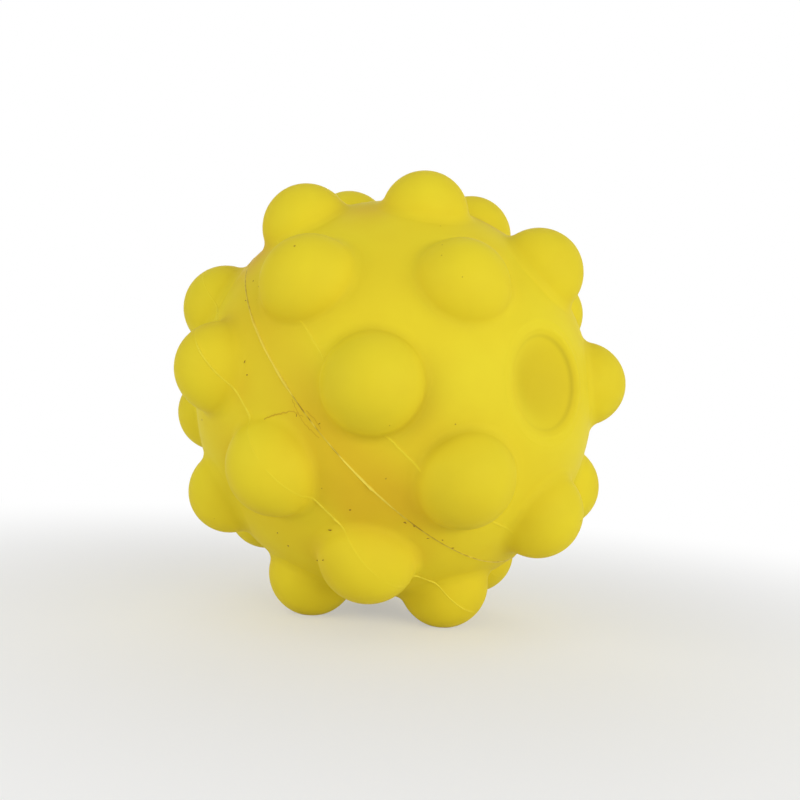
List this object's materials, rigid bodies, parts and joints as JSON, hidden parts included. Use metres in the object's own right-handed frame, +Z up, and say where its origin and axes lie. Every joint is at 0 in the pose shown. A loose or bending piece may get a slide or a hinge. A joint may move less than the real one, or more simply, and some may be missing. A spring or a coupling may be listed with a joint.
{
  "type": "pop fidget ball",
  "caption": "Hollow soft silicone ball, moulded in halves and bonded round its middle, covered in thin round domes that snap in and out when a finger pushes them.",
  "frame": {"origin": "on the surface the ball stands on, straight under its centre", "axes": "+Z up as it lies in the picture, on three domes; -Y faces the picture's camera; the seam's axis is tilted"},
  "size_m": [0.0674, 0.0682, 0.0636],
  "materials": {
    "shell_silicone": "satin moulded silicone, one even yellow",
    "bond_silicone": "thin raised line of the same silicone, slightly glossier",
    "dome_silicone": "satin moulded silicone, one even yellow"
  },
  "bodies": {
    "shell": {"upper_half_shell": "shell_silicone", "lower_half_shell": "shell_silicone", "seam_bond": "bond_silicone"},
    "lower_pole": {"dome_lower_pole": "dome_silicone"},
    "lower_ring_1": {"dome_lower_ring_1": "dome_silicone"},
    "lower_ring_2": {"dome_lower_ring_2": "dome_silicone"},
    "lower_ring_3": {"dome_lower_ring_3": "dome_silicone"},
    "lower_ring_4": {"dome_lower_ring_4": "dome_silicone"},
    "lower_ring_5": {"dome_lower_ring_5": "dome_silicone"},
    "lower_ring_6": {"dome_lower_ring_6": "dome_silicone"},
    "lower_row_01": {"dome_lower_row_01": "dome_silicone"},
    "lower_row_02": {"dome_lower_row_02": "dome_silicone"},
    "lower_row_03": {"dome_lower_row_03": "dome_silicone"},
    "lower_row_04": {"dome_lower_row_04": "dome_silicone"},
    "lower_row_05": {"dome_lower_row_05": "dome_silicone"},
    "lower_row_06": {"dome_lower_row_06": "dome_silicone"},
    "lower_row_07": {"dome_lower_row_07": "dome_silicone"},
    "lower_row_08": {"dome_lower_row_08": "dome_silicone"},
    "lower_row_09": {"dome_lower_row_09": "dome_silicone"},
    "lower_row_10": {"dome_lower_row_10": "dome_silicone"},
    "upper_pole": {"dome_upper_pole": "dome_silicone"},
    "upper_ring_1": {"dome_upper_ring_1": "dome_silicone"},
    "upper_ring_2": {"dome_upper_ring_2": "dome_silicone"},
    "upper_ring_3": {"dome_upper_ring_3": "dome_silicone"},
    "upper_ring_4": {"dome_upper_ring_4": "dome_silicone"},
    "upper_ring_5": {"dome_upper_ring_5": "dome_silicone"},
    "upper_ring_6": {"dome_upper_ring_6": "dome_silicone"},
    "upper_row_01": {"dome_upper_row_01": "dome_silicone"},
    "upper_row_02": {"dome_upper_row_02": "dome_silicone"},
    "upper_row_03": {"dome_upper_row_03": "dome_silicone"},
    "upper_row_04": {"dome_upper_row_04": "dome_silicone"},
    "upper_row_05": {"dome_upper_row_05": "dome_silicone"},
    "upper_row_06": {"dome_upper_row_06": "dome_silicone"},
    "upper_row_07": {"dome_upper_row_07": "dome_silicone"},
    "upper_row_08": {"dome_upper_row_08": "dome_silicone"},
    "upper_row_09": {"dome_upper_row_09": "dome_silicone"},
    "upper_row_10": {"dome_upper_row_10": "dome_silicone"}
  },
  "joints": [
    {"name": "push_in_lower_pole", "type": "slide", "parent": "shell", "child": "lower_pole", "axis": [0.6755, -0.3383, 0.6552], "range_m": [0, 0.0126], "deforming": ["dome_lower_pole"]},
    {"name": "push_in_lower_ring_1", "type": "slide", "parent": "shell", "child": "lower_ring_1", "axis": [0.9795, -0.154, 0.1296], "range_m": [0, 0.0126], "deforming": ["dome_lower_ring_1"]},
    {"name": "push_in_lower_ring_2", "type": "slide", "parent": "shell", "child": "lower_ring_2", "axis": [0.8089, 0.268, 0.5233], "range_m": [0, 0.0126], "deforming": ["dome_lower_ring_2"]},
    {"name": "push_in_lower_ring_3", "type": "slide", "parent": "shell", "child": "lower_ring_3", "axis": [0.3689, 0.1518, 0.917], "range_m": [0, 0.0126], "deforming": ["dome_lower_ring_3"]},
    {"name": "push_in_lower_ring_4", "type": "slide", "parent": "shell", "child": "lower_ring_4", "axis": [0.0994, -0.3863, 0.917], "range_m": [0, 0.0126], "deforming": ["dome_lower_ring_4"]},
    {"name": "push_in_lower_ring_5", "type": "slide", "parent": "shell", "child": "lower_ring_5", "axis": [0.27, -0.8083, 0.5233], "range_m": [0, 0.0126], "deforming": ["dome_lower_ring_5"]},
    {"name": "push_in_lower_ring_6", "type": "slide", "parent": "shell", "child": "lower_ring_6", "axis": [0.7101, -0.6921, 0.1296], "range_m": [0, 0.0126], "deforming": ["dome_lower_ring_6"]},
    {"name": "push_in_lower_row_01", "type": "slide", "parent": "shell", "child": "lower_row_01", "axis": [0.9042, 0.079, -0.4197], "range_m": [0, 0.0126], "deforming": ["dome_lower_row_01"]},
    {"name": "push_in_lower_row_02", "type": "slide", "parent": "shell", "child": "lower_row_02", "axis": [0.8244, 0.5589, -0.0898], "range_m": [0, 0.0126], "deforming": ["dome_lower_row_02"]},
    {"name": "push_in_lower_row_03", "type": "slide", "parent": "shell", "child": "lower_row_03", "axis": [0.5094, 0.7853, 0.3519], "range_m": [0, 0.0126], "deforming": ["dome_lower_row_03"]},
    {"name": "push_in_lower_row_04", "type": "slide", "parent": "shell", "child": "lower_row_04", "axis": [0.0796, 0.6718, 0.7364], "range_m": [0, 0.0126], "deforming": ["dome_lower_row_04"]},
    {"name": "push_in_lower_row_05", "type": "slide", "parent": "shell", "child": "lower_row_05", "axis": [-0.3009, 0.2619, 0.917], "range_m": [0, 0.0126], "deforming": ["dome_lower_row_05"]},
    {"name": "push_in_lower_row_06", "type": "slide", "parent": "shell", "child": "lower_row_06", "axis": [-0.4867, -0.2881, 0.8247], "range_m": [0, 0.0126], "deforming": ["dome_lower_row_06"]},
    {"name": "push_in_lower_row_07", "type": "slide", "parent": "shell", "child": "lower_row_07", "axis": [-0.4069, -0.7679, 0.4947], "range_m": [0, 0.0126], "deforming": ["dome_lower_row_07"]},
    {"name": "push_in_lower_row_08", "type": "slide", "parent": "shell", "child": "lower_row_08", "axis": [-0.092, -0.9943, 0.0531], "range_m": [0, 0.0126], "deforming": ["dome_lower_row_08"]},
    {"name": "push_in_lower_row_09", "type": "slide", "parent": "shell", "child": "lower_row_09", "axis": [0.3379, -0.8809, -0.3315], "range_m": [0, 0.0126], "deforming": ["dome_lower_row_09"]},
    {"name": "push_in_lower_row_10", "type": "slide", "parent": "shell", "child": "lower_row_10", "axis": [0.7184, -0.4709, -0.5121], "range_m": [0, 0.0126], "deforming": ["dome_lower_row_10"]},
    {"name": "push_in_upper_pole", "type": "slide", "parent": "shell", "child": "upper_pole", "axis": [-0.6755, 0.3383, -0.6552], "range_m": [0, 0.0126], "deforming": ["dome_upper_pole"]},
    {"name": "push_in_upper_ring_1", "type": "slide", "parent": "shell", "child": "upper_ring_1", "axis": [-0.0994, 0.3863, -0.917], "range_m": [0, 0.0126], "deforming": ["dome_upper_ring_1"]},
    {"name": "push_in_upper_ring_2", "type": "slide", "parent": "shell", "child": "upper_ring_2", "axis": [-0.27, 0.8083, -0.5233], "range_m": [0, 0.0126], "deforming": ["dome_upper_ring_2"]},
    {"name": "pop_out_upper_ring_3", "type": "slide", "parent": "shell", "child": "upper_ring_3", "axis": [0.7101, -0.6921, 0.1296], "range_m": [0, 0.0126], "deforming": ["dome_upper_ring_3"]},
    {"name": "push_in_upper_ring_4", "type": "slide", "parent": "shell", "child": "upper_ring_4", "axis": [-0.9795, 0.154, -0.1296], "range_m": [0, 0.0126], "deforming": ["dome_upper_ring_4"]},
    {"name": "push_in_upper_ring_5", "type": "slide", "parent": "shell", "child": "upper_ring_5", "axis": [-0.8089, -0.268, -0.5233], "range_m": [0, 0.0126], "deforming": ["dome_upper_ring_5"]},
    {"name": "push_in_upper_ring_6", "type": "slide", "parent": "shell", "child": "upper_ring_6", "axis": [-0.3689, -0.1518, -0.917], "range_m": [0, 0.0126], "deforming": ["dome_upper_ring_6"]},
    {"name": "push_in_upper_row_01", "type": "slide", "parent": "shell", "child": "upper_row_01", "axis": [0.4867, 0.2881, -0.8247], "range_m": [0, 0.0126], "deforming": ["dome_upper_row_01"]},
    {"name": "push_in_upper_row_02", "type": "slide", "parent": "shell", "child": "upper_row_02", "axis": [0.4069, 0.7679, -0.4947], "range_m": [0, 0.0126], "deforming": ["dome_upper_row_02"]},
    {"name": "push_in_upper_row_03", "type": "slide", "parent": "shell", "child": "upper_row_03", "axis": [0.092, 0.9943, -0.0531], "range_m": [0, 0.0126], "deforming": ["dome_upper_row_03"]},
    {"name": "push_in_upper_row_04", "type": "slide", "parent": "shell", "child": "upper_row_04", "axis": [-0.3379, 0.8809, 0.3315], "range_m": [0, 0.0126], "deforming": ["dome_upper_row_04"]},
    {"name": "push_in_upper_row_05", "type": "slide", "parent": "shell", "child": "upper_row_05", "axis": [-0.7184, 0.4709, 0.5121], "range_m": [0, 0.0126], "deforming": ["dome_upper_row_05"]},
    {"name": "push_in_upper_row_06", "type": "slide", "parent": "shell", "child": "upper_row_06", "axis": [-0.9042, -0.079, 0.4197], "range_m": [0, 0.0126], "deforming": ["dome_upper_row_06"]},
    {"name": "push_in_upper_row_07", "type": "slide", "parent": "shell", "child": "upper_row_07", "axis": [-0.8244, -0.5589, 0.0898], "range_m": [0, 0.0126], "deforming": ["dome_upper_row_07"]},
    {"name": "push_in_upper_row_08", "type": "slide", "parent": "shell", "child": "upper_row_08", "axis": [-0.5094, -0.7853, -0.3519], "range_m": [0, 0.0126], "deforming": ["dome_upper_row_08"]},
    {"name": "push_in_upper_row_09", "type": "slide", "parent": "shell", "child": "upper_row_09", "axis": [-0.0796, -0.6718, -0.7364], "range_m": [0, 0.0126], "deforming": ["dome_upper_row_09"]},
    {"name": "push_in_upper_row_10", "type": "slide", "parent": "shell", "child": "upper_row_10", "axis": [0.3009, -0.2619, -0.917], "range_m": [0, 0.0126], "deforming": ["dome_upper_row_10"]}
  ]
}
